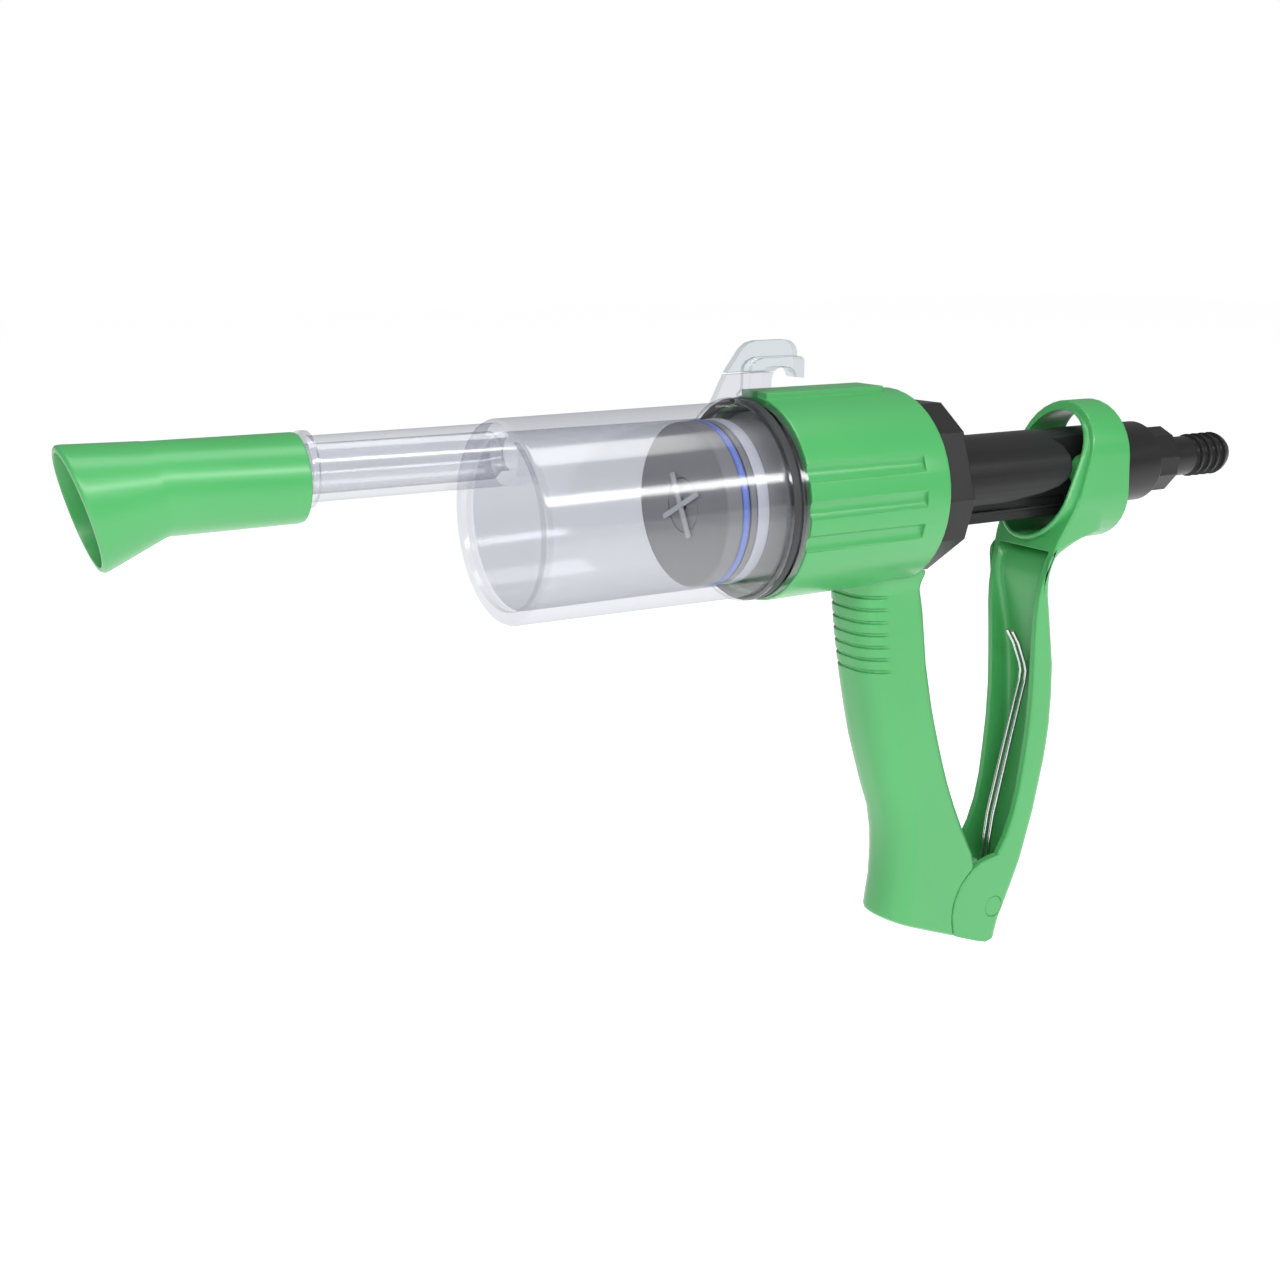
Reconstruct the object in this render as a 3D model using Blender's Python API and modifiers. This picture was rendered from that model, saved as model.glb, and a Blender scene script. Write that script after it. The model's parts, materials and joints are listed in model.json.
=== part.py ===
"""Pour-on applicator gun: a clear dosing barrel, a piston on a hollow rod, and a squeeze lever.

Run with: blender --background --python part.py
The gun's own axes: X runs along the barrel towards the hose, Z is up, and X = 0 is the green
housing's front rim on the barrel axis. Every object hangs from one empty, which puts the world
origin at the hook's seat. Sizes are in millimetres, and MM turns them into metres.
"""

import math

import bmesh
import bpy
from mathutils import Vector

MM = 0.001
GAP = 0.3

# Driving dimensions
BARREL_R = 26.4
BORE_R = 22.9
BARREL_FRONT = -77.4
FRONT_WALL = 3.5
BARREL_REAR = 35.5
SLEEVE_BORE_R = 24.3
COLLAR_R = 28.0
OUTLET_Z = 17.5
OUTLET_R = 8.0
SPIGOT_FRONT = -147.5
SPIGOT_STEP = -129.3
SPIGOT_BORE_R = 5.2
HOUSING_R = 28.5
HOUSING_BORE_R = 26.0
HOUSING_REAR = 48.0
NUT_R = 25.8
NUT_REAR = 58.5
ROD_R = 12.5
ROD_BORE_R = 5.0
ROD_HOLE_R = 15.0
ROD_REAR = 131.0
RECESS_FLOOR = 6.5
KEEL_HALF = 6.0
RECESS_REAR = 126.0
KEEL_BOTTOM = -13.3
PISTON_FRONT = -22.5
PISTON_R = 22.3
PIN_X = 88.8
PIN_Z = -136.5
PIN_R = 3.3
KNUCKLE_R = 16.9
RING_R = 16.0
RING_HOLE_R = 13.2
RING_TOP = 4.7
RING_BOTTOM = -6.4
RING_REAR = 129.5
BOSS_X = 117.5
BOSS_R = 5.0
HOOK_SEAT_X = 8.4
HOOK_SEAT_Z = 35.6
HOOK_SPLIT_Z = 34.6
NOZZLE_Z = 15.7
NOZZLE_R = 10.8

GREEN = (0.10, 0.52, 0.17, 1.0)
BLACK = (0.02, 0.02, 0.021, 1.0)
CLEAR = (0.85, 0.86, 0.92, 0.35)
GREY = (0.20, 0.20, 0.21, 1.0)
BLUE = (0.12, 0.20, 0.75, 1.0)
WHITE = (0.80, 0.80, 0.84, 1.0)
STEEL = (0.60, 0.61, 0.62, 1.0)

for old in list(bpy.data.objects):
    bpy.data.objects.remove(old)

parts = bpy.data.collections.new("pour_on_applicator_gun")
cutters = bpy.data.collections.new("cutters")
for collection in (parts, cutters):
    bpy.context.scene.collection.children.link(collection)
cutters.hide_render = True

gun = bpy.data.objects.new("gun_axes", None)
gun.location = (-HOOK_SEAT_X * MM, 0.0, -HOOK_SEAT_Z * MM)
parts.objects.link(gun)


def material(name, colour, roughness, metallic=0.0):
    """A Principled material of one colour."""
    made = bpy.data.materials.new(name)
    made.use_nodes = True
    shader = made.node_tree.nodes["Principled BSDF"]
    shader.inputs["Base Color"].default_value = colour
    shader.inputs["Roughness"].default_value = roughness
    shader.inputs["Metallic"].default_value = metallic
    shader.inputs["Alpha"].default_value = colour[3]
    made.diffuse_color = colour
    return made


green_plastic = material("green_plastic", GREEN, 0.35)
black_plastic = material("black_plastic", BLACK, 0.45)
clear_plastic = material("clear_plastic", CLEAR, 0.08)
grey_plastic = material("grey_plastic", GREY, 0.4)
white_plastic = material("white_plastic", WHITE, 0.4)
blue_rubber = material("blue_rubber", BLUE, 0.5)
black_rubber = material("black_rubber", BLACK, 0.7)
spring_steel = material("spring_steel", STEEL, 0.25, 1.0)


def adopt(obj, look):
    """Hang an object from the gun's axes: a part if it has a material, otherwise a cutter."""
    obj.parent = gun
    for old in list(obj.users_collection):
        old.objects.unlink(obj)
    if look is None:
        cutters.objects.link(obj)
        obj.hide_render = True
        obj.display_type = "WIRE"
        return obj
    parts.objects.link(obj)
    obj.data.materials.clear()
    obj.data.materials.append(look)
    for face in obj.data.polygons:
        face.use_smooth = True
    obj.data.set_sharp_from_angle(angle=math.radians(35))
    return obj


def mesh_object(name, verts, faces, look):
    """An object from points in millimetres, with its faces turned outward."""
    mesh = bpy.data.meshes.new(name)
    mesh.from_pydata([Vector(v) * MM for v in verts], [], faces)
    shape = bmesh.new()
    shape.from_mesh(mesh)
    bmesh.ops.recalc_face_normals(shape, faces=shape.faces)
    shape.to_mesh(mesh)
    shape.free()
    return adopt(bpy.data.objects.new(name, mesh), look)


def turned(name, profile, look, z=0.0, steps=48, y=0.0):
    """A shape turned about the X direction. The profile is (x, radius), rear to front outside."""
    area = 0.0
    for (x0, r0), (x1, r1) in zip(profile, profile[1:] + profile[:1]):
        area += x0 * r1 - x1 * r0
    if area < 0:
        profile = profile[::-1]
    hollow = min(radius for _, radius in profile) > 0
    count = len(profile)
    edges = [(i, (i + 1) % count) for i in range(count if hollow else count - 1)]
    mesh = bpy.data.meshes.new(name)
    mesh.from_pydata([(radius * MM, 0, x * MM) for x, radius in profile], edges, [])
    obj = bpy.data.objects.new(name, mesh)
    screw = obj.modifiers.new("turn", "SCREW")
    screw.axis = "Z"
    screw.steps = steps
    screw.render_steps = steps
    screw.use_merge_vertices = True
    screw.merge_threshold = 0.00001
    screw.use_smooth_shade = True
    obj.location = (0, y * MM, z * MM)
    obj.rotation_euler = (0, math.radians(90), 0)
    return adopt(obj, look)


def skin(name, rows, look):
    """A closed loft through rows of points, each row a closed loop with the same count."""
    count = len(rows[0])
    verts = [point for row in rows for point in row]
    faces = [tuple(range(count)), tuple(range(len(verts) - count, len(verts)))]
    for i in range(len(rows) - 1):
        for j in range(count):
            k = (j + 1) % count
            faces.append((i * count + j, i * count + k, (i + 1) * count + k, (i + 1) * count + j))
    return mesh_object(name, verts, faces, look)


def plate(name, outline, y_low, y_high, look):
    """A flat plate: an outline of (x, z) points, filled and extruded between two Y values."""
    curve = bpy.data.curves.new(name, "CURVE")
    curve.dimensions = "2D"
    curve.fill_mode = "BOTH"
    curve.extrude = (y_high - y_low) / 2 * MM
    spline = curve.splines.new("POLY")
    spline.points.add(len(outline) - 1)
    for point, (x, z) in zip(spline.points, outline):
        point.co = (x * MM, z * MM, 0, 1)
    spline.use_cyclic_u = True
    drawn = bpy.data.objects.new(name, curve)
    cutters.objects.link(drawn)
    graph = bpy.context.evaluated_depsgraph_get()
    mesh = bpy.data.meshes.new_from_object(drawn.evaluated_get(graph))
    bpy.data.objects.remove(drawn)
    shape = bmesh.new()
    shape.from_mesh(mesh)
    bmesh.ops.remove_doubles(shape, verts=shape.verts, dist=0.000001)
    bmesh.ops.recalc_face_normals(shape, faces=shape.faces)
    shape.to_mesh(mesh)
    shape.free()
    obj = bpy.data.objects.new(name, mesh)
    obj.location = (0, (y_low + y_high) / 2 * MM, 0)
    obj.rotation_euler = (math.radians(90), 0, 0)
    return adopt(obj, look)


def box(name, low, high, look):
    """A box between two corners."""
    bpy.ops.mesh.primitive_cube_add(size=1)
    obj = bpy.context.object
    obj.name = name
    size = Vector(high) - Vector(low)
    for vertex in obj.data.vertices:
        vertex.co = Vector(c * s for c, s in zip(vertex.co, size)) * MM
    obj.location = (Vector(low) + Vector(high)) / 2 * MM
    return adopt(obj, look)


def rod_along_y(name, x, z, radius, y_low, y_high, look, sides=32):
    """A cylinder whose axis runs along Y."""
    bpy.ops.mesh.primitive_cylinder_add(
        vertices=sides, radius=radius * MM, depth=(y_high - y_low) * MM
    )
    obj = bpy.context.object
    obj.name = name
    obj.location = (x * MM, (y_low + y_high) / 2 * MM, z * MM)
    obj.rotation_euler = (math.radians(90), 0, 0)
    return adopt(obj, look)


def wire(name, points, radius, look, sides=2):
    """A round wire through a list of points."""
    curve = bpy.data.curves.new(name, "CURVE")
    curve.dimensions = "3D"
    curve.bevel_depth = radius * MM
    curve.bevel_resolution = sides
    curve.use_fill_caps = True
    spline = curve.splines.new("POLY")
    spline.points.add(len(points) - 1)
    for point, place in zip(spline.points, points):
        point.co = (place[0] * MM, place[1] * MM, place[2] * MM, 1)
    obj = bpy.data.objects.new(name, curve)
    obj.parent = gun
    parts.objects.link(obj)
    curve.materials.append(look)
    return obj


def combine(target, tool, operation):
    """Join a tool to a target, or cut it away."""
    step = target.modifiers.new(tool.name, "BOOLEAN")
    step.operation = operation
    step.solver = "EXACT"
    step.object = tool


def cut(target, *tools):
    for tool in tools:
        combine(target, tool, "DIFFERENCE")


def join(target, *tools):
    for tool in tools:
        combine(target, tool, "UNION")


def arc(cx, cz, radius, start, end, count):
    """Points on an arc of (x, z), in degrees counted from +X towards +Z."""
    points = []
    for i in range(count + 1):
        angle = math.radians(start + (end - start) * i / count)
        points.append((cx + radius * math.cos(angle), cz + radius * math.sin(angle)))
    return points


def stadium(radius, top, bottom, count=16):
    """(y, z) points of a slot with round ends, whose ends' centres are at top and bottom."""
    points = []
    for i in range(count + 1):
        angle = math.pi * i / count
        points.append((radius * math.cos(angle), top + radius * math.sin(angle)))
    for i in range(count + 1):
        angle = math.pi * (1 + i / count)
        points.append((radius * math.cos(angle), bottom + radius * math.sin(angle)))
    return points


def along(stations, z):
    """The value at height z, read from (z, value) stations by straight lines."""
    stations = sorted(stations)
    if z <= stations[0][0]:
        return stations[0][1]
    for (z0, v0), (z1, v1) in zip(stations, stations[1:]):
        if z <= z1:
            return v0 + (v1 - v0) * (z - z0) / (z1 - z0)
    return stations[-1][1]


def rounded_section(x_front, x_rear, half_width, r_front, r_rear, corner=5):
    """(x, y) points of a rounded rectangle, from the near rear corner round by the front."""
    corners = (
        (x_rear - r_rear, -half_width + r_rear, r_rear, -90, 0),
        (x_rear - r_rear, half_width - r_rear, r_rear, 0, 90),
        (x_front + r_front, half_width - r_front, r_front, 90, 180),
        (x_front + r_front, -half_width + r_front, r_front, 180, 270),
    )
    points = []
    for cx, cy, radius, start, end in corners:
        points += arc(cx, cy, radius, start, end, corner)
    return points


def knob_outline(radius, lobes=5, wide=44.0, phase=21.4):
    """(y, z) points of a nut with wide and narrow flats in turn."""
    points = []
    for i in range(lobes):
        for turn in (0.0, 360.0 / lobes - wide):
            angle = math.radians(phase + 360.0 / lobes * i + turn)
            points.append((-radius * math.sin(angle), radius * math.cos(angle)))
    return points


# Barrel: clear moulding with a front wall, an outlet tube ending in a spigot, a grooved collar
# that seats on the housing, and the lower half of the hook's stem.
barrel = turned(
    "barrel",
    [
        (BARREL_FRONT + FRONT_WALL, 0),
        (BARREL_FRONT + FRONT_WALL, BORE_R),
        (-14, BORE_R),
        (-9, SLEEVE_BORE_R),
        (BARREL_REAR, SLEEVE_BORE_R),
        (BARREL_REAR, 25.6),
        (-GAP, 25.6),
        (-GAP, COLLAR_R),
        (-6.4, COLLAR_R),
        (-6.9, COLLAR_R - 0.6),
        (-6.9, BARREL_R + 0.4),
        (BARREL_FRONT + 0.7, BARREL_R),
        (BARREL_FRONT + 0.2, BARREL_R - 0.2),
        (BARREL_FRONT, BARREL_R - 0.8),
        (BARREL_FRONT, 0),
    ],
    clear_plastic,
    steps=48,
)
outlet_tube = turned(
    "outlet_tube",
    [
        (BARREL_FRONT + FRONT_WALL - 1, OUTLET_R),
        (-127.4, OUTLET_R - 0.1),
        (-127.4, 9.2),
        (SPIGOT_STEP, 9.2),
        (SPIGOT_STEP, 7.0),
        (-138.0, 7.0),
        (-138.0, 6.2),
        (-139.2, 6.2),
        (-139.2, 7.0),
        (SPIGOT_FRONT, 7.0),
        (SPIGOT_FRONT, 0),
        (BARREL_FRONT + FRONT_WALL - 1, 0),
    ],
    None,
    z=OUTLET_Z,
)
outlet_bore = turned(
    "outlet_bore",
    [
        (SPIGOT_FRONT - 2, 0),
        (SPIGOT_FRONT - 2, SPIGOT_BORE_R),
        (SPIGOT_STEP, SPIGOT_BORE_R),
        (SPIGOT_STEP + 1, 6.0),
        (BARREL_FRONT - 2, 6.0),
        (BARREL_FRONT, 4.2),
        (BARREL_FRONT + FRONT_WALL + 2, 4.2),
        (BARREL_FRONT + FRONT_WALL + 2, 0),
    ],
    None,
    z=OUTLET_Z,
)
front_recess = turned(
    "front_recess",
    [
        (BARREL_FRONT - 1, 0),
        (BARREL_FRONT - 1, BORE_R),
        (BARREL_FRONT + 1.5, BORE_R),
        (BARREL_FRONT + 1.5, 0),
    ],
    None,
    steps=48,
)
recess_roof = box("recess_roof", (BARREL_FRONT - 3, -20, 21.3), (BARREL_FRONT + 3, 20, 30), None)
cut(front_recess, recess_roof)
stem_post = plate(
    "stem_post",
    [(-4.0, 25.5), (-0.4, 25.5), (-0.4, 29.9), (4.2, 29.9), (4.2, 32.4), (4.5, 33.5),
     (5.0, HOOK_SPLIT_Z - 0.15), (-2.5, HOOK_SPLIT_Z - 0.15), (-2.5, 30.0), (-4.0, 28.5)],
    -2.6,
    2.6,
    None,
)
stem_web = plate(
    "stem_web",
    [(-14.0, 26.0), (-1.0, 26.0), (-1.0, HOOK_SPLIT_Z - 0.25), (-9.5, HOOK_SPLIT_Z - 0.25)],
    -1.2,
    1.2,
    None,
)
seal_groove = turned(
    "seal_groove",
    [(-5.6, 25.9), (-2.5, 25.9), (-2.5, COLLAR_R + 0.1), (-5.6, COLLAR_R + 0.1)],
    None,
    steps=48,
)
cut(barrel, front_recess)
join(barrel, outlet_tube)
cut(barrel, outlet_bore)
join(barrel, stem_post, stem_web)
cut(barrel, seal_groove)

# Hook: the upper half of the hanger, welded to the stem at the parting line.
hanging_hook = plate(
    "hanging_hook",
    [(-2.5, HOOK_SPLIT_Z + 0.15), (5.2, HOOK_SPLIT_Z + 0.15), (5.9, HOOK_SEAT_Z - 0.25),
     (7.0, HOOK_SEAT_Z), (10.4, HOOK_SEAT_Z), (11.5, HOOK_SEAT_Z - 0.6), (12.3, 33.9),
     (12.6, 32.8), (15.1, 32.5), (15.1, 37.4),
     (14.2, 38.4), (1.5, 38.4), (-0.8, 37.6), (-2.2, 36.2)],
    -2.6,
    2.6,
    clear_plastic,
)
hook_web = plate(
    "hook_web",
    [(-9.3, HOOK_SPLIT_Z + 0.25), (1.0, HOOK_SPLIT_Z + 0.25), (1.0, 37.0), (13.6, 37.0),
     (13.6, 39.6), (12.9, 41.4), (11.4, 42.6), (9.6, 43.0), (0.0, 43.0), (-2.6, 42.4),
     (-4.6, 40.9), (-6.2, 38.8)],
    -1.2,
    1.2,
    None,
)
join(hanging_hook, hook_web)

# Barrel seal: a black ring in the collar's groove.
barrel_seal = turned(
    "barrel_seal",
    [(-2.8, 26.2), (-2.8, 27.5), (-3.2, 27.8), (-4.9, 27.8), (-5.3, 27.5), (-5.3, 26.2)],
    black_rubber,
    steps=48,
)


def nozzle_ring(x_top, z_top, x_bottom, z_bottom, half_width, count=32):
    """One row of the nozzle: an ellipse between a top and a bottom point."""
    row = []
    for i in range(count):
        angle = 2 * math.pi * i / count
        rise = (1 + math.cos(angle)) / 2
        x = x_bottom + (x_top - x_bottom) * rise
        row.append((x, half_width * math.sin(angle), z_bottom + (z_top - z_bottom) * rise))
    return row


def upright_ring(x, z, radius):
    return nozzle_ring(x, z + radius, x, z - radius, radius)


# Nozzle: pushed over the spigot and free to be turned on it; its mouth is cut back and flared
# downward.
nozzle = skin(
    "nozzle",
    [
        upright_ring(-130.0, NOZZLE_Z, NOZZLE_R - 0.8),
        upright_ring(-130.2, NOZZLE_Z, NOZZLE_R - 0.2),
        upright_ring(-131.0, NOZZLE_Z, NOZZLE_R),
        nozzle_ring(-165.5, 26.6, -161.6, 4.7, NOZZLE_R + 0.2),
        nozzle_ring(-166.3, 26.7, -162.8, 4.3, NOZZLE_R + 0.3),
        nozzle_ring(-183.4, 27.1, -175.6, -1.9, 12.2),
        nozzle_ring(-184.3, 27.0, -176.6, -2.2, 12.2),
        nozzle_ring(-184.8, 26.5, -177.2, -1.9, 11.8),
        nozzle_ring(-184.9, 25.9, -177.3, -1.3, 11.2),
    ],
    green_plastic,
)
nozzle_cavity = skin(
    "nozzle_cavity",
    [
        upright_ring(-128.0, OUTLET_Z, 7.3),
        upright_ring(-150.0, OUTLET_Z, 7.3),
        upright_ring(-151.5, OUTLET_Z - 0.3, 8.2),
        upright_ring(-161.5, NOZZLE_Z + 0.4, 9.0),
        nozzle_ring(-184.6, 25.4, -176.9, -0.8, 10.6),
        nozzle_ring(-185.6, 25.6, -178.2, -1.2, 10.9),
    ],
    None,
)
cut(nozzle, nozzle_cavity)

# Seal between the nozzle and the spigot, so that the nozzle doesn't drip.
nozzle_o_ring = turned(
    "nozzle_o_ring",
    [(-138.6 + x, r) for x, r in arc(0, 6.76, 0.38, 0, 300, 5)],
    black_rubber,
    z=OUTLET_Z,
    steps=24,
)


def spoked_ring(name, ring_x, rim_r, hole_r, reach, spoke, look, z=0.0):
    """A ring with a cross of spokes; ring_x is its rear and front X."""
    ring = turned(
        name,
        [(ring_x[0], hole_r), (ring_x[0], rim_r), (ring_x[1], rim_r), (ring_x[1], hole_r)],
        look,
        z=z,
        steps=32,
    )
    half = spoke / 2
    for number, (y, dz) in enumerate(((half, reach), (reach, half))):
        arm = box(
            f"{name}_arm_{number}",
            (ring_x[1] + 0.1 * number + 0.1, -y, z - dz),
            (ring_x[0] - 0.1 * number - 0.1, y, z + dz),
            None,
        )
        join(ring, arm)
    return ring


def poppet(name, x_seat, disc_r, stem_x, z):
    """A disc with a guide stem that points forward."""
    return turned(
        name,
        [(x_seat, 0), (x_seat, disc_r - 0.4), (x_seat - 0.4, disc_r), (x_seat - 1.4, disc_r),
         (x_seat - 1.4, 1.0), (stem_x, 1.0), (stem_x, 0)],
        white_plastic,
        z=z,
        steps=24,
    )


def coil(name, x_from, x_to, radius, turns, wire_r, z):
    """A compression spring along X."""
    steps = 10
    points = []
    for i in range(turns * steps + 1):
        angle = 2 * math.pi * i / steps
        x = x_from + (x_to - x_from) * i / (turns * steps)
        points.append((x, radius * math.cos(angle), z + radius * math.sin(angle)))
    return wire(name, points, wire_r, spring_steel, sides=1)


# Delivery valve: opens forward when the piston pushes, shuts while the barrel refills.
delivery_seat = turned(
    "delivery_seat",
    [(-131.5, 2.8), (-131.5, 5.0), (-133.5, 5.0), (-133.5, 2.8)],
    white_plastic,
    z=OUTLET_Z,
    steps=32,
)
delivery_poppet = poppet("delivery_poppet", -133.8, 3.9, -141.0, OUTLET_Z)
delivery_spring = coil("delivery_spring", -135.9, -143.9, 2.4, 4, 0.3, OUTLET_Z)
CAGE_X = (-144.6, -147.0)
delivery_cage = spoked_ring(
    "delivery_cage", CAGE_X, 4.9, 3.7, 4.3, 1.4, white_plastic, z=OUTLET_Z
)

# Handle body: the green housing round the barrel's rear, with the fixed grip moulded under it.
HOUSING_TAPER = 0.4
handle_body = turned(
    "handle_body",
    [(HOUSING_REAR, 0), (HOUSING_REAR, HOUSING_R - HOUSING_TAPER - 0.9),
     (HOUSING_REAR - 0.3, HOUSING_R - HOUSING_TAPER - 0.3),
     (HOUSING_REAR - 1, HOUSING_R - HOUSING_TAPER), (0.6, HOUSING_R), (0.1, HOUSING_R - 0.3),
     (0, HOUSING_R - 0.7), (0, 0)],
    green_plastic,
    steps=48,
)
GRIP_FRONT = [(-22, 32.4), (-33, 32.9), (-44, 34.1), (-56, 36.0), (-66, 37.9), (-76, 40.1),
              (-91, 44.5), (-100, 47.7), (-108, 49.0), (-116, 49.3), (-126, 48.6), (-137, 46.2)]
GRIP_REAR = [(-22, 53.2), (-28, 53.7), (-37, 55.7), (-53, 58.0), (-67, 61.1), (-81, 65.2),
             (-95, 70.0), (-107, 75.4), (-119, 81.6), (-124, 84.5), (-150, 84.5)]
GRIP_HALF = [(-22, 11.4), (-40, 11.0), (-70, 10.5), (-100, 9.9), (-120, 9.6), (-150, 9.6)]
BOTTOM_SLOPE = 0.39
FINGER_LINES = [-30.5 - 3.75 * i for i in range(7)]
LINE_DEPTH = 0.45
LINE_HALF = 0.3
LINE_REACH = 6.5


def grip_row(z, tilt=0.0, inset=0.0, shrink=0.0):
    """One level section of the grip; inset sinks its front, and tilt slopes it to the rear."""
    front = along(GRIP_FRONT, z)
    rear = along(GRIP_REAR, z)
    rear = along(GRIP_REAR, z - tilt * (rear - front))
    section = rounded_section(
        front + shrink, rear - shrink, along(GRIP_HALF, z) - shrink, 8.0, 4.0
    )
    row = []
    for x, y in section:
        if x < front + LINE_REACH:
            x += inset
            y -= math.copysign(inset, y) if abs(y) > 3 else 0.0
        row.append((x, y, z - tilt * (x - front)))
    return row


grip_rows = [
    [(x, y, -19.5) for x, y, _ in grip_row(-22, shrink=-1.3)],
    grip_row(-25, shrink=-1.3),
    grip_row(-28, shrink=-0.4),
]
for line_z in FINGER_LINES:
    grip_rows.append(grip_row(line_z + 2 * LINE_HALF))
    grip_rows.append(grip_row(line_z + LINE_HALF, inset=LINE_DEPTH))
    grip_rows.append(grip_row(line_z - LINE_HALF, inset=LINE_DEPTH))
    grip_rows.append(grip_row(line_z - 2 * LINE_HALF))
for level in range(-60, -112, -8):
    grip_rows.append(grip_row(level))
grip_rows.append(grip_row(-114, tilt=BOTTOM_SLOPE * 0.3))
grip_rows.append(grip_row(-122, tilt=BOTTOM_SLOPE * 0.7))
grip_rows.append(grip_row(-131.4, tilt=BOTTOM_SLOPE))
grip_rows.append(grip_row(-132.8, tilt=BOTTOM_SLOPE, shrink=0.4))
grip_rows.append(grip_row(-133.4, tilt=BOTTOM_SLOPE, shrink=1.4))
grip = skin("grip", grip_rows, None)
knuckle_seat = rod_along_y("knuckle_seat", PIN_X, PIN_Z, KNUCKLE_R + 0.4, -14, 14, None, 56)
nut_room = turned("nut_room", [(62, 0), (62, 26.6), (47.2, 26.6), (47.2, 0)], None, steps=40)
SPRING_HALF = 3.9
spring_pocket = box(
    "spring_pocket", (76.8, -SPRING_HALF, -141), (90, SPRING_HALF, -119.8), None
)
cut(grip, knuckle_seat, nut_room, spring_pocket)
EAR_INNER = 4.1
EAR_OUTER = 7.1
EAR_OUTLINE = [(66, -139.5), (83.5, -146.0), (88, -146.6), (91.5, -144.3), (94.4, -139),
               (94.7, -136), (93, -131.5), (88.8, -129.5), (84, -127), (66, -122)]
near_ear = plate("near_ear", EAR_OUTLINE, -EAR_OUTER, -EAR_INNER, None)
far_ear = plate("far_ear", EAR_OUTLINE, EAR_INNER, EAR_OUTER, None)
top_pad = box("top_pad", (0.3, -6, 25), (40, 6, 29.4), None)
housing_bore = turned(
    "housing_bore",
    [(HOUSING_REAR + 1, 0), (HOUSING_REAR + 1, HOUSING_BORE_R), (-1, HOUSING_BORE_R), (-1, 0)],
    None,
    steps=56,
)
join(handle_body, top_pad, grip, near_ear, far_ear)
cut(handle_body, housing_bore)
FLUTE_R = 3.4
FLUTE_AT = 30.5
for side in (-1, 1):
    for number, angle in enumerate((21.0, 1.0, -18.0)):
        flute = turned(
            f"flute_{side}_{number}",
            [(39.4, 0), (39.4, FLUTE_R), (-2, FLUTE_R), (-2, 0)],
            None,
            y=side * FLUTE_AT * math.cos(math.radians(angle)),
            z=FLUTE_AT * math.sin(math.radians(angle)),
            steps=16,
        )
        cut(handle_body, flute)
pin_hole = rod_along_y("pin_hole", PIN_X, PIN_Z, PIN_R + 0.12, -12, 12, None)
cut(handle_body, pin_hole)

# Hinge pin: one plain pin through both cheeks of the lever and both ears of the grip.
hinge_pin = rod_along_y("hinge_pin", PIN_X, PIN_Z, PIN_R, -9.55, 9.55, green_plastic)

# Dose nut: screwed into the housing's rear, turned to move the stop sleeve.
nut_body = [(x, y, z) for x in (48.3, NUT_REAR) for y, z in knob_outline(NUT_R)]
lobe_count = len(nut_body) // 2
dose_nut = skin("dose_nut", [nut_body[:lobe_count], nut_body[lobe_count:]], black_plastic)
nut_neck = turned(
    "nut_neck",
    [(49.5, 0), (49.5, 23.0), (47.6, 23.0), (47.6, 25.4), (36.5, 25.4), (36.5, 0)],
    None,
    steps=48,
)
nut_bore = turned(
    "nut_bore",
    [(60, 0), (60, ROD_HOLE_R), (51.2, ROD_HOLE_R), (51.2, 20.4), (35, 20.4), (35, 0)],
    None,
)
join(dose_nut, nut_neck)
cut(dose_nut, nut_bore)

# Stop sleeve: threaded into the dose nut, keyed against turning; it stops the piston's return.
dose_sleeve = turned(
    "dose_sleeve",
    [(0.6, ROD_HOLE_R), (0.6, 23.9), (6.6, 23.9), (8.6, 20.0), (41.0, 20.0), (41.0, ROD_HOLE_R)],
    grey_plastic,
)

# Piston rod: a hollow black rod with a keel under it. Side recesses take the lever's bosses, and
# their round front shoulder is what the bosses push.
NECK_FRONT = -13.2
NECK_REAR = 139.0
piston_rod = turned(
    "piston_rod",
    [(NECK_FRONT, ROD_BORE_R), (NECK_REAR, ROD_BORE_R), (NECK_REAR, 9.0), (ROD_REAR, 9.0),
     (ROD_REAR, ROD_R), (-7.5, ROD_R), (-7.5, 9.0), (NECK_FRONT, 9.0)],
    black_plastic,
)
keel = box("keel", (48, -KEEL_HALF, KEEL_BOTTOM), (112, KEEL_HALF, -7.5), None)
join(piston_rod, keel)
RECESS_OUTLINE = [(47, -7.0), (84, -6.9), (98, -4.9), (104, -3.3), (107.5, -0.9), (108.8, 1.8),
                  (108.8, 5.4), (107.4, 8.4), (104, 11.1), (99, 13.4), (RECESS_REAR, 13.4),
                  (RECESS_REAR, -15), (47, -15)]
GROOVE_OUTLINE = [(46, -9.9), (113, -9.9), (113, -7.0), (46, -7.0)]
for side in (-1, 1):
    for name, outline, floor in (
        ("recess", RECESS_OUTLINE, RECESS_FLOOR),
        ("groove", GROOVE_OUTLINE, RECESS_FLOOR - 1.2),
    ):
        ends = sorted((side * floor, side * 15.0))
        cut(piston_rod, plate(f"{name}_{side}", outline, ends[0], ends[1], None))

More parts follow.
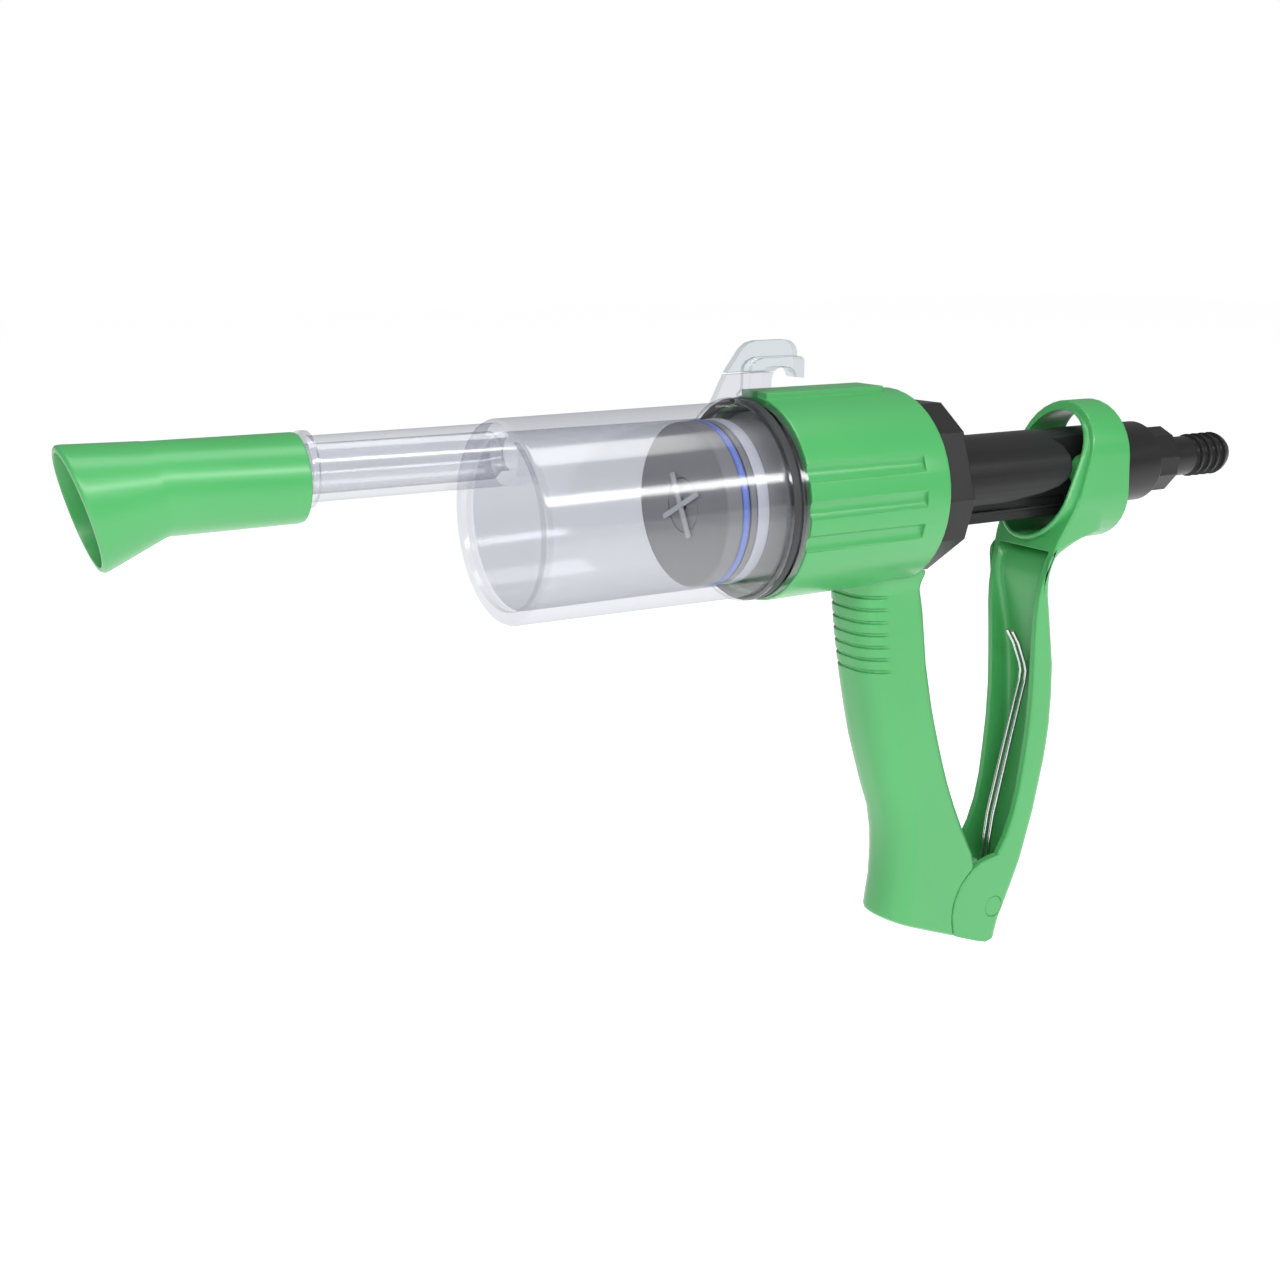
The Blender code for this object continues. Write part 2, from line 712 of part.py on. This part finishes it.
# Rod end collar, hose nut, washer and hose tail: the inlet end, which travels with the rod.
rod_end_collar = turned(
    "rod_end_collar",
    [(131.3, 9.3), (131.3, ROD_R), (146.6, ROD_R), (147.3, 12.2), (147.5, 11.6), (147.5, 4.0),
     (139.5, 4.0), (139.5, 9.3)],
    black_plastic,
)
tail_washer = turned(
    "tail_washer",
    [(147.8, 4.0), (147.8, 8.0), (148.9, 8.0), (148.9, 4.0)],
    black_rubber,
    steps=32,
)
hose_nut_rows = []
for x, radius in ((147.9, 10.2), (148.6, 10.6), (157.2, 10.6), (158.5, 9.4)):
    hose_nut_rows.append([(x, y, z) for y, z in knob_outline(radius, wide=40.0, phase=8.0)])
hose_nut = skin("hose_nut", hose_nut_rows, black_plastic)
hose_nut_bore = turned(
    "hose_nut_bore",
    [(147, 0), (147, 8.4), (152.4, 8.4), (152.4, 6.6), (160, 6.6), (160, 0)],
    None,
    steps=32,
)
cut(hose_nut, hose_nut_bore)
TAIL_END = 187.0
BARB_RIDGES = (183.4, 179.9, 176.4, 172.9)
hose_tail_profile = [(TAIL_END, 3.0), (TAIL_END, 4.0), (TAIL_END - 0.7, 5.1),
                     (TAIL_END - 1.9, 5.9)]
for ridge_x in BARB_RIDGES:
    hose_tail_profile += [(ridge_x + 0.6, 6.5), (ridge_x - 0.7, 6.9), (ridge_x - 1.1, 5.7),
                          (ridge_x - 2.3, 5.6)]
hose_tail_profile += [(170.0, 6.3), (152.0, 6.3), (152.0, 8.0), (149.2, 8.0), (149.2, 3.0)]
hose_tail = turned("hose_tail", hose_tail_profile, black_plastic, steps=28)

# Piston: a moulded cup on the rod's nose, with an O-ring, a wiper ring and the inlet valve.
piston = turned(
    "piston",
    [
        (PISTON_FRONT, 7.5),
        (-15.0, 7.5),
        (-15.0, 4.6),
        (-13.5, 4.6),
        (-13.5, 9.3),
        (-7.8, 9.3),
        (-7.8, 11.6),
        (-13.0, 11.6),
        (-14.0, 17.6),
        (0.0, 19.6),
        (0.0, 21.6),
        (-0.4, PISTON_R - 0.3),
        (-9.2, PISTON_R - 0.3),
        (-9.2, 20.4),
        (-13.4, 20.4),
        (-13.4, PISTON_R),
        (-15.2, PISTON_R),
        (-15.2, 20.0),
        (-18.0, 20.0),
        (-18.0, PISTON_R),
        (PISTON_FRONT + 0.5, PISTON_R),
        (PISTON_FRONT, PISTON_R - 0.5),
    ],
    grey_plastic,
    steps=48,
)
piston_o_ring = turned(
    "piston_o_ring",
    [(-16.6 + x, r) for x, r in arc(0, 21.5, 1.15, 0, 315, 7)],
    blue_rubber,
    steps=48,
)
piston_wiper = turned(
    "piston_wiper",
    [(-9.5, 20.7), (-9.5, 22.3), (-10.2, 22.6), (-12.5, 22.6), (-13.1, 22.3), (-13.1, 20.7)],
    white_plastic,
    steps=48,
)

# Inlet valve: fluid from the hose comes up the hollow rod and lifts this poppet on the return.
inlet_poppet = poppet("inlet_poppet", -15.3, 6.6, -19.6, 0.0)
inlet_spring = coil("inlet_spring", -17.3, -21.0, 3.0, 3, 0.35, 0.0)
inlet_plate = turned(
    "inlet_plate",
    [(-21.4, 1.6), (-21.4, 7.2), (-22.4, 7.2), (-22.4, 1.6)],
    grey_plastic,
    steps=32,
)

# Nose cross: two crossed white ribs over the inlet plate's hole, which keep it off the wall.
CROSS_TURN = -27.0
CROSS_REACH = 9.3
CROSS_HALF = 0.7
nose_cross = box(
    "nose_cross",
    (-23.6, -CROSS_HALF, -CROSS_REACH),
    (-22.8, CROSS_HALF, CROSS_REACH),
    white_plastic,
)
cross_arm = box(
    "cross_arm", (-23.55, -CROSS_REACH, -CROSS_HALF), (-22.85, CROSS_REACH, CROSS_HALF), None
)
for rib in (nose_cross, cross_arm):
    rib.rotation_euler = (math.radians(CROSS_TURN), 0, 0)
join(nose_cross, cross_arm)

# Squeeze lever: a channel open towards the grip. Its top ring goes round the rod, and two bosses
# inside the ring push the rod forward. Its lower cheeks straddle the grip's ears on the pin.
LEVER_BACK = [(-144, 91.8), (-134, 96.4), (-123, 101), (-107, 105.5), (-91, 108.5), (-76, 110),
              (-59, 109), (-51, 107.5), (-43, 105.9), (-35, 104.2), (-30, 104.2), (-26, 106.3),
              (-24, 109), (-22, 113.4), (-20.2, 118), (-19.3, 122.5), (-18, 127), (-12, 128.6),
              (-6, 129.2)]
LEVER_FRONT = [(-119.6, 89.5), (-116, 92), (-108.5, 95), (-100, 97), (-83, 99.2), (-67, 99.9),
               (-54, 99.3), (-39, 98.8), (-29, 100.6), (-20, 103.5), (-12, 107.6), (-6, 109.6)]
LEVER_HALF = [(-150, 9.6), (-105, 9.75), (-84, 10.25), (-50, 11), (-35, 11.8), (-20, 13.8),
              (-12, 15.1), (-6, 15.9)]
LEVER_BACK_R = [(-30, 3.8), (-24, 7), (-18, 10), (-6, 10)]
LEVER_WALL = 2.3
LEVER_WEB = 2.2


def lever_front(z):
    """The lever's front edge, which below the channel is the round knuckle."""
    if z > LEVER_FRONT[0][0]:
        return along(LEVER_FRONT, z)
    return PIN_X - math.sqrt(KNUCKLE_R**2 - (z - PIN_Z) ** 2)


def lever_row(z):
    section = rounded_section(
        lever_front(z), along(LEVER_BACK, z), along(LEVER_HALF, z), 0.8, along(LEVER_BACK_R, z)
    )
    return [(x, y, z) for x, y in section]


def channel_row(z):
    section = rounded_section(
        lever_front(z) - 8,
        along(LEVER_BACK, z) - LEVER_WEB,
        along(LEVER_HALF, z) - LEVER_WALL,
        0.5,
        along(LEVER_BACK_R, z) - 1.5,
    )
    return [(x, y, z) for x, y in section]


def ring_row(radius, x_at_zero, lean):
    """A stadium row whose X follows its height."""
    return [(x_at_zero + lean * z, y, z) for y, z in stadium(radius, RING_TOP, RING_BOTTOM)]


lever_levels = [-151, -146, -141, -136.5, -131, -126, -122.5, -120.8, -119.7, -119.4, -114,
                -107, -99, -90, -80, -70, -60, -51, -43, -37, -33, -30, -27.5, -25.5, -24, -22.5,
                -21, -20, -19, -18, -15, -11, -6]
trigger_lever = skin("trigger_lever", [lever_row(z) for z in lever_levels], green_plastic)
channel = skin("channel", [channel_row(z) for z in (-117.5, -107, -95, -80, -68, -58,
                                                     -49, -42, -36, -32, -29,
                                                     -26.5, -25, -23.4)], None)
cheek_slot = plate(
    "cheek_slot",
    [(60, -160), (112, -160), (112, -128), (96.6, -128), (100.6, -116.5), (60, -116.5)],
    -7.4,
    7.4,
    None,
)
bottom_cut = plate(
    "bottom_cut",
    [(60, -138.2), (82.0, -146.8), (86.2, -148.1), (88.6, -147.7), (90.8, -146.2),
     (92.4, -143.6), (93.4, -140.4), (100, -130), (110, -165), (60, -165)],
    -15,
    15,
    None,
)
FRONT_LEAN = 0.27
REAR_LEAN = -0.05
LIP_LEAN = 0.41
ring = skin(
    "ring",
    [
        ring_row(RING_R - 0.8, 111.3, FRONT_LEAN),
        ring_row(RING_R - 0.2, 111.5, FRONT_LEAN),
        ring_row(RING_R, 112.1, FRONT_LEAN),
        ring_row(RING_R, RING_REAR - 0.8, REAR_LEAN),
        ring_row(RING_R - 0.2, RING_REAR - 0.2, REAR_LEAN),
        ring_row(RING_R - 0.8, RING_REAR, REAR_LEAN),
    ],
    None,
)
ring_lip = skin(
    "ring_lip",
    [
        ring_row(RING_HOLE_R + 0.6, 108.7, LIP_LEAN),
        ring_row(RING_HOLE_R + 1.3, 109.3, LIP_LEAN),
        ring_row(RING_HOLE_R + 1.3, RING_REAR - 2, REAR_LEAN),
    ],
    None,
)
ring_hole = skin(
    "ring_hole",
    [ring_row(RING_HOLE_R, 90.0, 0.0), ring_row(RING_HOLE_R, RING_REAR + 8, 0.0)],
    None,
)
join(trigger_lever, ring, ring_lip)
cut(trigger_lever, ring_hole, channel, cheek_slot, bottom_cut)
for side in (-1, 1):
    ends = sorted((side * 7.2, side * 14.5))
    join(trigger_lever, rod_along_y(f"boss_{side}", BOSS_X, 0, BOSS_R, ends[0], ends[1], None))
lever_pin_hole = rod_along_y("lever_pin_hole", PIN_X, PIN_Z, PIN_R + 0.12, -12, 12, None)
cut(trigger_lever, lever_pin_hole)

# Return spring: one wire, bent as a double torsion spring. Its coils sit on the pin between the
# ears, its closed leg bears on the grip and its two free legs push the lever's web back.
WIRE_R = 0.6
COIL_R = 4.3
LEG_Y = 1.2
GRIP_LEG_Y = 3.2
COIL_TURNS = 1.5
COIL_STEPS = 18
GRIP_LEG = [(77.8, -121.6), (79.6, -126.0)]
LEVER_LEG = [(98.7, -49.7), (101.5, -53.9), (104.6, -61.0), (105.3, -63.6), (104.9, -67.0),
             (103.9, -70.9), (100.6, -83.8), (97.2, -97.7), (94.4, -109.5), (93.3, -118.0),
             (93.0, -127.0)]


def spring_half(side):
    """One half of the return spring, from a free leg's end to the middle of the closed leg."""
    points = [(x, side * LEG_Y, z) for x, z in LEVER_LEG]
    for i in range(COIL_STEPS + 1):
        part = i / COIL_STEPS
        angle = -2 * math.pi * COIL_TURNS * part
        y = side * (LEG_Y + (GRIP_LEG_Y - LEG_Y) * part)
        points.append((PIN_X + COIL_R * math.cos(angle), y, PIN_Z + COIL_R * math.sin(angle)))
    (x_end, z_end), (x_low, z_low) = GRIP_LEG
    points.append((x_low, side * GRIP_LEG_Y, z_low))
    for i in range(4):
        angle = math.radians(30 * i)
        bend = GRIP_LEG_Y - 1.2
        points.append((x_end, side * (bend + 1.2 * math.cos(angle)), z_end + 1.2 * math.sin(angle)))
    return points


return_spring = wire(
    "return_spring", spring_half(1) + spring_half(-1)[::-1], WIRE_R, spring_steel
)
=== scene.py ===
"""The finished look of a pour-on applicator gun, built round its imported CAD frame."""

import json
import math

import bmesh
import bpy
import numpy as np
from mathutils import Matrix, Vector

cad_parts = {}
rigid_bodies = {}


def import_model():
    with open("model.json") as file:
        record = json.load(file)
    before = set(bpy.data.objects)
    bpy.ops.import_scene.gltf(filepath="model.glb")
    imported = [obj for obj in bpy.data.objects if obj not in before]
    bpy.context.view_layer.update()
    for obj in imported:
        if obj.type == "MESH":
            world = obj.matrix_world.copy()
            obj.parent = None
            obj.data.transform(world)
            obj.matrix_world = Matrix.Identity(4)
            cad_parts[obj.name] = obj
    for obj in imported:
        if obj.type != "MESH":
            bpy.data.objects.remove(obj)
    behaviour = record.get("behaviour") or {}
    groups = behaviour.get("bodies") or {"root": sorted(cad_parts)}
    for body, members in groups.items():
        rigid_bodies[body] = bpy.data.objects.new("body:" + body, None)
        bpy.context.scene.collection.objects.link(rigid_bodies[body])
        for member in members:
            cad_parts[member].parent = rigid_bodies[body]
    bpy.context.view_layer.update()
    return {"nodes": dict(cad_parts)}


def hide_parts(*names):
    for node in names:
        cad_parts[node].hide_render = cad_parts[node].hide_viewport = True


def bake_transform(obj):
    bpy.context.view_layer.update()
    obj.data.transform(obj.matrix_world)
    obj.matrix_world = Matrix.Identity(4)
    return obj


for startup in list(bpy.data.objects):
    bpy.data.objects.remove(startup)

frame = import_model()

# Clear barrel: a polycarbonate moulding with an outlet tube along its top. It's moulded in one
# piece with the lower half of the hook's stem, and its collar seats in the green housing.
POLISHED_ROUGHNESS = 0.14
GLOSS_FACING = 0.05
GLOSS_EDGE_ON = 0.3
TINT_DEEPENS_FROM = 0.3
BARREL_STRAIGHT = (0.865, 0.872, 0.893, 1)
BARREL_EDGE_ON = (0.72, 0.73, 0.76, 1)


def nodes_for(name):
    """A new material with an empty node tree and its output."""
    made = bpy.data.materials.new(name)
    made.use_nodes = True
    tree = made.node_tree
    tree.nodes.clear()
    output = tree.nodes.new("ShaderNodeOutputMaterial")
    return made, tree, output


def ramp(tree, source, stops):
    """A colour ramp on a socket, from (position, grey or colour) stops."""
    node = tree.nodes.new("ShaderNodeValToRGB")
    for element, (place, value) in zip(node.color_ramp.elements, stops):
        element.position = place
        element.color = (value, value, value, 1) if isinstance(value, float) else value
    tree.links.new(source, node.inputs["Fac"])
    return node.outputs["Color"]


def clear_plastic(name, straight, edge_on):
    """Clear moulding: a light tint that deepens edge on, under a polish on its outer faces."""
    made, tree, output = nodes_for(name)
    facing = tree.nodes.new("ShaderNodeLayerWeight")
    facing.inputs["Blend"].default_value = 0.5
    turned_away = facing.outputs["Facing"]
    tint = ramp(tree, turned_away, ((TINT_DEEPENS_FROM, straight), (1.0, edge_on)))
    through = tree.nodes.new("ShaderNodeBsdfTransparent")
    tree.links.new(tint, through.inputs["Color"])
    gloss = ramp(tree, turned_away, ((0.0, GLOSS_FACING), (1.0, GLOSS_EDGE_ON)))
    side = tree.nodes.new("ShaderNodeNewGeometry")
    outer = tree.nodes.new("ShaderNodeMath")
    outer.operation = "SUBTRACT"
    outer.inputs[0].default_value = 1.0
    tree.links.new(side.outputs["Backfacing"], outer.inputs[1])
    polish = tree.nodes.new("ShaderNodeMath")
    polish.operation = "MULTIPLY"
    tree.links.new(outer.outputs["Value"], polish.inputs[0])
    tree.links.new(gloss, polish.inputs[1])
    shine = tree.nodes.new("ShaderNodeBsdfGlossy")
    shine.inputs["Roughness"].default_value = POLISHED_ROUGHNESS
    mix = tree.nodes.new("ShaderNodeMixShader")
    tree.links.new(polish.outputs["Value"], mix.inputs["Fac"])
    tree.links.new(through.outputs["BSDF"], mix.inputs[1])
    tree.links.new(shine.outputs["BSDF"], mix.inputs[2])
    tree.links.new(mix.outputs["Shader"], output.inputs["Surface"])
    return made


def finish_cad(node, look, angle=35.0):
    """Give a CAD node its material, and shade its curved faces smooth up to an angle."""
    obj = frame["nodes"][node]
    mesh = obj.data
    for face in mesh.polygons:
        face.use_smooth = True
    points = np.array([v.co for v in mesh.vertices]).round(7)
    _, point_of = np.unique(points, axis=0, return_inverse=True)
    point_of = point_of.reshape(-1)
    corners = {}
    for face in mesh.polygons:
        for loop in face.loop_indices:
            vertex = point_of[mesh.loops[loop].vertex_index]
            corners.setdefault(vertex, []).append((loop, face))
    limit = math.cos(math.radians(angle))
    normals = [Vector((0, 0, 1))] * len(mesh.loops)
    for around in corners.values():
        for loop, face in around:
            total = Vector()
            for _, other in around:
                if face.normal.dot(other.normal) > limit:
                    total += other.normal * other.area
            normals[loop] = total.normalized() if total.length > 0 else face.normal
    mesh.normals_split_custom_set(normals)
    mesh.materials.clear()
    mesh.materials.append(look)
    return obj


barrel_clear = clear_plastic("barrel_clear", BARREL_STRAIGHT, BARREL_EDGE_ON)
finish_cad("barrel", barrel_clear)

# Hanging hook: a thicker, milkier moulding of the same clear plastic. It's joined to the barrel's
# stem at the parting line, and its flat seat hangs on a rail or a belt loop.
HOOK_STRAIGHT = (0.83, 0.86, 0.88, 1)
HOOK_EDGE_ON = (0.58, 0.62, 0.64, 1)
hook_clear = clear_plastic("hook_clear", HOOK_STRAIGHT, HOOK_EDGE_ON)
finish_cad("hanging_hook", hook_clear)

# Barrel seal: a black rubber ring moulded in one piece. It lies in the groove of the barrel's
# collar, pressed between the barrel and the housing.
MM = 0.001
MOTTLE = 0.04
MOTTLE_SCALE = 22.0
MOTTLE_LOW = 0.3
MOTTLE_HIGH = 0.7
ROUGHNESS_SPREAD = 0.08
GRAIN_SCALE = 900.0
GRAIN_DEPTH = 0.05 * MM
EDGE_ROUNDING = 0.45 * MM
COAT_ROUGHNESS = 0.15
SEAL_BLACK = (0.018, 0.018, 0.02)


def moulded(name, colour, roughness, grain=0.03, coat=0.0, gloss=0.5):
    """Moulded plastic or rubber: a faint mottle in the colour, a fine grain, rounded edges."""
    made, tree, output = nodes_for(name)
    shader = tree.nodes.new("ShaderNodeBsdfPrincipled")
    place = tree.nodes.new("ShaderNodeTexCoord")
    cloud = tree.nodes.new("ShaderNodeTexNoise")
    cloud.inputs["Scale"].default_value = MOTTLE_SCALE
    cloud.inputs["Detail"].default_value = 3.0
    tree.links.new(place.outputs["Object"], cloud.inputs["Vector"])
    darker = tuple(c * (1 - MOTTLE) for c in colour) + (1,)
    lighter = tuple(c * (1 + MOTTLE) for c in colour) + (1,)
    blend = ramp(tree, cloud.outputs["Fac"], ((MOTTLE_LOW, darker), (MOTTLE_HIGH, lighter)))
    tree.links.new(blend, shader.inputs["Base Color"])
    smoother = roughness * (1 - ROUGHNESS_SPREAD)
    rougher = roughness * (1 + ROUGHNESS_SPREAD)
    rough = ramp(tree, cloud.outputs["Fac"], ((MOTTLE_LOW, smoother), (MOTTLE_HIGH, rougher)))
    tree.links.new(rough, shader.inputs["Roughness"])
    fine = tree.nodes.new("ShaderNodeTexNoise")
    fine.inputs["Scale"].default_value = GRAIN_SCALE
    fine.inputs["Detail"].default_value = 2.0
    tree.links.new(place.outputs["Object"], fine.inputs["Vector"])
    rounded = tree.nodes.new("ShaderNodeBevel")
    rounded.samples = 6
    rounded.inputs["Radius"].default_value = EDGE_ROUNDING
    bump = tree.nodes.new("ShaderNodeBump")
    bump.inputs["Strength"].default_value = grain
    bump.inputs["Distance"].default_value = GRAIN_DEPTH
    tree.links.new(fine.outputs["Fac"], bump.inputs["Height"])
    tree.links.new(rounded.outputs["Normal"], bump.inputs["Normal"])
    tree.links.new(bump.outputs["Normal"], shader.inputs["Normal"])
    shader.inputs["Specular IOR Level"].default_value = gloss
    shader.inputs["Coat Weight"].default_value = coat
    shader.inputs["Coat Roughness"].default_value = COAT_ROUGHNESS
    tree.links.new(shader.outputs["BSDF"], output.inputs["Surface"])
    return made


seal_rubber = moulded("seal_rubber", SEAL_BLACK, 0.55)
finish_cad("barrel_seal", seal_rubber)

# Housing and grip: one glossy green nylon moulding. It holds the barrel's rear end, with flutes
# along its sides, and the fixed grip hangs under it with finger lines on its front.
GREEN = (0.046, 0.29, 0.080)
green_plastic = moulded("green_plastic", GREEN, 0.34, coat=0.1)
finish_cad("handle_body", green_plastic)

# Hinge pin: a plain green pin, driven through the grip's ears and the lever's cheeks. Its ends
# are flush outside.
finish_cad("hinge_pin", green_plastic)

# Return spring: one bright steel wire wound on the pin. Its coils stay with the grip, and its two
# long legs bear on the lever's web and swing with it.
STEEL = (0.62, 0.63, 0.64, 1)
STEEL_ROUGHNESS = 0.22
DRAW_MARK_SCALE = 700.0
DRAW_MARK_STRENGTH = 0.05


def bright_steel(name):
    """Drawn spring wire: polished steel with faint marks from the die."""
    made, tree, output = nodes_for(name)
    shader = tree.nodes.new("ShaderNodeBsdfPrincipled")
    shader.inputs["Base Color"].default_value = STEEL
    shader.inputs["Metallic"].default_value = 1.0
    shader.inputs["Roughness"].default_value = STEEL_ROUGHNESS
    place = tree.nodes.new("ShaderNodeTexCoord")
    drawn = tree.nodes.new("ShaderNodeTexNoise")
    drawn.inputs["Scale"].default_value = DRAW_MARK_SCALE
    tree.links.new(place.outputs["Object"], drawn.inputs["Vector"])
    bump = tree.nodes.new("ShaderNodeBump")
    bump.inputs["Strength"].default_value = DRAW_MARK_STRENGTH
    bump.inputs["Distance"].default_value = GRAIN_DEPTH
    tree.links.new(drawn.outputs["Fac"], bump.inputs["Height"])
    tree.links.new(bump.outputs["Normal"], shader.inputs["Normal"])
    tree.links.new(shader.outputs["BSDF"], output.inputs["Surface"])
    return made


def sprung(node):
    """A bright wire in place of a CAD spring: a copy of its mesh, left where the spring rests."""
    at_rest = finish_cad(node, spring_steel, angle=60.0)
    wire = bpy.data.objects.new(f"{node}_wire", at_rest.data.copy())
    wire.matrix_world = at_rest.matrix_world.copy()
    bpy.context.scene.collection.objects.link(wire)
    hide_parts(node)
    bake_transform(wire)


spring_steel = bright_steel("spring_steel")
sprung("return_spring")

# Nozzle: a green moulding pushed over the spigot, with a mouth cut back and flared downward. A
# small rubber ring in the spigot's groove keeps it from dripping.
finish_cad("nozzle", green_plastic, angle=30.0)
finish_cad("nozzle_o_ring", seal_rubber)

# Delivery valve: a white plastic seat, a sprung poppet and a cage, all inside the spigot. The
# wire spring bears on the cage and shortens as the poppet lifts.
WHITE = (0.72, 0.73, 0.78)
white_plastic = moulded("white_plastic", WHITE, 0.4)
for node in ("delivery_seat", "delivery_poppet", "delivery_cage"):
    finish_cad(node, white_plastic)
sprung("delivery_spring")

# Piston: a grey plastic cup on the rod's nose, with a blue rubber O-ring and a pale wiper in its
# grooves. The inlet valve sits in its face, under a plate and a cross whose pale grey is painted
# highlight, standing in for the light on its fins.
PISTON_GREY = (0.21, 0.21, 0.21)
O_RING_BLUE = (0.15, 0.22, 0.62)
WIPER_WHITE = (0.52, 0.52, 0.56)
# The cross's pale grey is painted highlight, standing in for the light caught on its fins.
CROSS_PAINTED_HIGHLIGHT = (0.46, 0.46, 0.48)
piston_grey = moulded("piston_grey", PISTON_GREY, 0.45, grain=0.004)
for node in ("piston", "inlet_poppet", "inlet_plate"):
    finish_cad(node, piston_grey)
blue_rubber = moulded("blue_rubber", O_RING_BLUE, 0.4)
finish_cad("piston_o_ring", blue_rubber, angle=60.0)
wiper_white = moulded("wiper_white", WIPER_WHITE, 0.45)
finish_cad("piston_wiper", wiper_white)
# Painted highlight: the cross gets a pale grey in place of the light on its fins.
cross_painted_highlight = moulded("cross_painted_highlight", CROSS_PAINTED_HIGHLIGHT, 0.45)
finish_cad("nose_cross", cross_painted_highlight)
sprung("inlet_spring")

# Piston rod and inlet fittings: black glass-filled nylon. The collar, the hose nut and the ridged
# hose tail are screwed together behind the rod, with a rubber washer between.
BLACK = (0.011, 0.011, 0.0115)
black_plastic = moulded("black_plastic", BLACK, 0.36, grain=0.05, gloss=0.25)
for node in ("piston_rod", "rod_end_collar", "hose_nut", "hose_tail"):
    finish_cad(node, black_plastic)
finish_cad("tail_washer", seal_rubber)

# Dose nut and stop sleeve: the black nut behind the housing screws the grey sleeve in and out,
# which sets how far the piston comes back.
finish_cad("dose_nut", black_plastic)
finish_cad("dose_sleeve", piston_grey)

# Squeeze lever: the same green nylon as the grip, hinged at its foot. Its ring goes round the rod
# and pushes it forward.
finish_cad("trigger_lever", green_plastic)

# Floor: a plain pale matt sheet well below the gun, lit a little from behind. The gun hangs
# above it and touches nothing.
FLOOR_Z = -0.32
FLOOR_HALF_SIDE = 6.0
FLOOR_PALE = (0.9, 0.9, 0.9, 1)
FLOOR_ROUGHNESS = 0.9
FLOOR_GLOW = 0.72
floor_pale, floor_tree, floor_output = nodes_for("floor_pale")
sheet = floor_tree.nodes.new("ShaderNodeBsdfPrincipled")
sheet.inputs["Base Color"].default_value = FLOOR_PALE
sheet.inputs["Roughness"].default_value = FLOOR_ROUGHNESS
sheet.inputs["Emission Color"].default_value = (1, 1, 1, 1)
sheet.inputs["Emission Strength"].default_value = FLOOR_GLOW
floor_tree.links.new(sheet.outputs["BSDF"], floor_output.inputs["Surface"])
floor_mesh = bpy.data.meshes.new("floor")
shape = bmesh.new()
bmesh.ops.create_grid(shape, x_segments=1, y_segments=1, size=FLOOR_HALF_SIDE)
shape.to_mesh(floor_mesh)
shape.free()
floor_mesh.materials.append(floor_pale)
floor = bpy.data.objects.new("floor", floor_mesh)
floor.location = (0, 0, FLOOR_Z)
bpy.context.scene.collection.objects.link(floor)

# Studio: a white room that lights softly, a softbox overhead, a long strip beside the barrel and
# a weak fill from the front left. The room's wall is plain white behind the gun.
ROOM_LIGHT = 0.3
world = bpy.data.worlds.new("studio")
world.use_nodes = True
room = world.node_tree
room_light = room.nodes["Background"]
room_light.inputs["Color"].default_value = (1, 1, 1, 1)
room_light.inputs["Strength"].default_value = ROOM_LIGHT
backdrop = room.nodes.new("ShaderNodeBackground")
backdrop.inputs["Color"].default_value = (1, 1, 1, 1)
backdrop.inputs["Strength"].default_value = 1.0
seen = room.nodes.new("ShaderNodeLightPath")
pick = room.nodes.new("ShaderNodeMixShader")
room.links.new(seen.outputs["Is Camera Ray"], pick.inputs["Fac"])
room.links.new(room_light.outputs["Background"], pick.inputs[1])
room.links.new(backdrop.outputs["Background"], pick.inputs[2])
room.links.new(pick.outputs["Shader"], room.nodes["World Output"].inputs["Surface"])
bpy.context.scene.world = world


def softbox(name, place, target, size, power):
    """A rectangular light at a place, turned to face its target."""
    lamp = bpy.data.lights.new(name, "AREA")
    lamp.shape = "RECTANGLE"
    lamp.size = size[0]
    lamp.size_y = size[1]
    lamp.energy = power
    obj = bpy.data.objects.new(name, lamp)
    obj.location = place
    direction = Vector(target) - Vector(place)
    obj.rotation_euler = direction.to_track_quat("-Z", "Y").to_euler()
    bpy.context.scene.collection.objects.link(obj)


softbox("overhead", (0.0, -0.1, 0.9), (0.0, 0.0, 0.0), size=(1.1, 0.4), power=5.0)
softbox("strip", (-0.2, -0.75, 0.48), (-0.05, 0.0, -0.03), size=(2.2, 0.16), power=14.0)
softbox("front_left", (-0.8, -0.9, 0.05), (0.0, 0.0, -0.02), size=(0.5, 0.7), power=2.0)

# Camera: a little above the gun and off its nozzle's left, with a longish lens. It looks back
# along the barrel and slightly down.
CAMERA_PLACE = (-0.27345, -0.38347, 0.03967)
TURN_ABOUT_Z = -30.862
LOOKS_DOWN = 13.959
FILM_WIDTH = 36.0
FOCAL_LENGTH = 47.8125
NEAREST_SEEN = 0.01
camera_data = bpy.data.cameras.new("camera")
camera_data.sensor_width = FILM_WIDTH
camera_data.lens = FOCAL_LENGTH
camera_data.clip_start = NEAREST_SEEN
camera = bpy.data.objects.new("camera", camera_data)
camera.location = CAMERA_PLACE
camera.rotation_euler = (math.radians(90 - LOOKS_DOWN), 0, math.radians(TURN_ABOUT_Z))
bpy.context.scene.collection.objects.link(camera)
bpy.context.scene.camera = camera
bpy.context.scene.view_settings.view_transform = "Standard"
